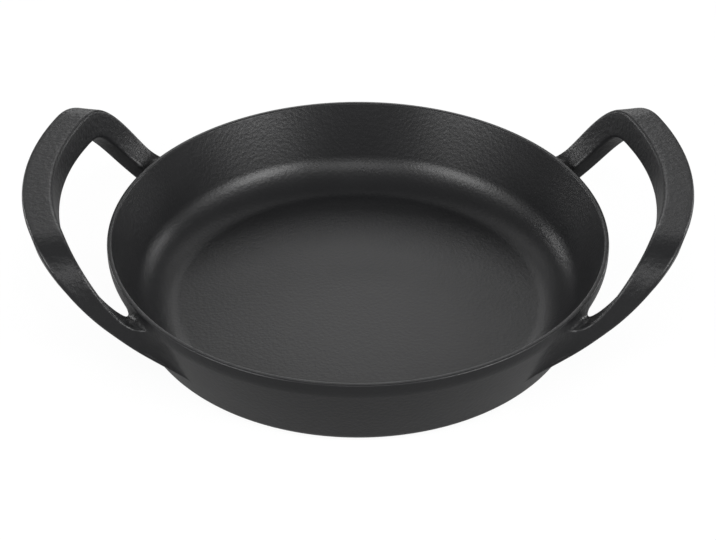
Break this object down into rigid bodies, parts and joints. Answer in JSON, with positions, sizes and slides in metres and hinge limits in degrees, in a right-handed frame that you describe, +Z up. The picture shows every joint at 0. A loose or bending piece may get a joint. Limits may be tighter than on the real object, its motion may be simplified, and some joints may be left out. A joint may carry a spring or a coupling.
{
  "type": "grill pan",
  "caption": "Shallow round cast-iron pan with a flat floor, a large inside fillet, a thin rim and a raised loop handle on each side.",
  "frame": {"origin": "middle of the flat base, on the surface that the pan stands on", "axes": "+Z up, X through the middles of both grips, Y from front to back"},
  "size_m": [0.3664, 0.28, 0.0899],
  "materials": {
    "bowl_enamel": "satin black enamel over fine cast grain",
    "handle_enamel": "satin black enamel over fine cast grain"
  },
  "bodies": {
    "root": {"pan_body": "bowl_enamel", "left_handle": "handle_enamel", "right_handle": "handle_enamel"}
  },
  "joints": []
}
